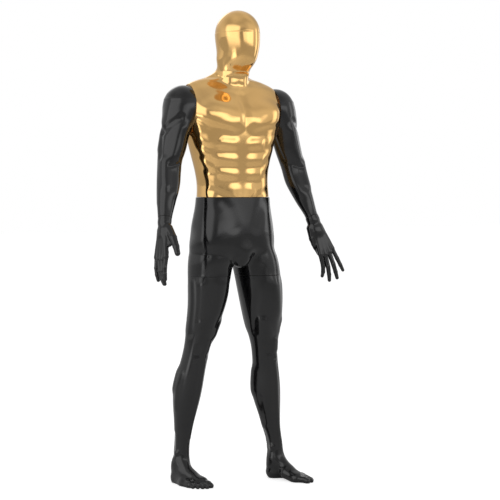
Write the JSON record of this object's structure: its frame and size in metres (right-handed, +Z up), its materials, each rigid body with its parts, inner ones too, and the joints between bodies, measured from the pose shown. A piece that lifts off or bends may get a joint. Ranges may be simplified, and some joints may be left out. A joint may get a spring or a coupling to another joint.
{
  "type": "display mannequin",
  "caption": "Full-height male display mannequin: gold-plated head and torso, gloss black arms, pelvis and legs, hollow shells with twist-lock steel fittings.",
  "frame": {"origin": "on the floor, under the centre of the figure's bounding box", "axes": "+Z up, -Y the way the torso faces, +X the figure's left"},
  "size_m": [0.8223, 0.339, 1.88],
  "materials": {
    "gold_plating": "mirror gold",
    "black_gloss": "high gloss",
    "plywood": "raw",
    "steel": "zinc plated",
    "screws": "dark"
  },
  "bodies": {
    "pelvis": {"pelvis_shell": "black_gloss", "right_leg_shell": "black_gloss", "pelvis_waist_board": "plywood", "pelvis_thigh_board": "plywood", "right_thigh_sleeve": "black_gloss", "waist_stud_plate": "steel", "leg_spigot": "steel", "base_rod_socket": "steel", "pelvis_screws": "screws"},
    "torso": {"torso_head_shell": "gold_plating", "torso_waist_board": "plywood", "torso_right_board": "plywood", "torso_left_board": "plywood", "waist_socket_plate": "steel", "right_shoulder_socket_plate": "steel", "left_shoulder_socket_plate": "steel", "torso_screws": "screws"},
    "right_arm": {"right_arm_shell": "black_gloss", "right_shoulder_board": "plywood", "right_wrist_board": "plywood", "right_shoulder_stud_plate": "steel", "right_wrist_socket_plate": "steel", "right_arm_screws": "screws"},
    "left_arm": {"left_arm_shell": "black_gloss", "left_shoulder_board": "plywood", "left_wrist_board": "plywood", "left_shoulder_stud_plate": "steel", "left_wrist_socket_plate": "steel", "left_arm_screws": "screws"},
    "right_hand": {"right_hand": "black_gloss", "right_wrist_stud_plate": "steel", "right_hand_screws": "screws"},
    "left_hand": {"left_hand": "black_gloss", "left_wrist_stud_plate": "steel", "left_hand_screws": "screws"},
    "left_leg": {"left_leg_shell": "black_gloss", "left_leg_board": "plywood", "leg_socket_tube": "steel", "left_leg_screws": "screws"}
  },
  "joints": [
    {"name": "waist_twist", "type": "hinge", "parent": "pelvis", "child": "torso", "pos_m": [-0.0051, 0.0145, 1.138], "axis": [0, 0, -1], "range_deg": [0, 60]},
    {"name": "right_shoulder_twist", "type": "hinge", "parent": "torso", "child": "right_arm", "pos_m": [-0.1991, 0.0245, 1.49], "axis": [-0.9986, 0, 0.0523], "range_deg": [0, 60]},
    {"name": "left_shoulder_twist", "type": "hinge", "parent": "torso", "child": "left_arm", "pos_m": [0.1809, 0.0245, 1.49], "axis": [-0.9986, 0, -0.0523], "range_deg": [0, 60]},
    {"name": "right_wrist_twist", "type": "hinge", "parent": "right_arm", "child": "right_hand", "pos_m": [-0.3401, -0.0535, 1.06], "axis": [-0.2287, -0.3327, -0.9149], "range_deg": [-60, 60]},
    {"name": "left_wrist_twist", "type": "hinge", "parent": "left_arm", "child": "left_hand", "pos_m": [0.3219, -0.0535, 1.06], "axis": [-0.2287, 0.3327, 0.9149], "range_deg": [-60, 60]},
    {"name": "left_leg_slide", "type": "slide", "parent": "pelvis", "child": "left_leg", "axis": [0, 0, -1], "range_m": [0, 0.05]}
  ]
}
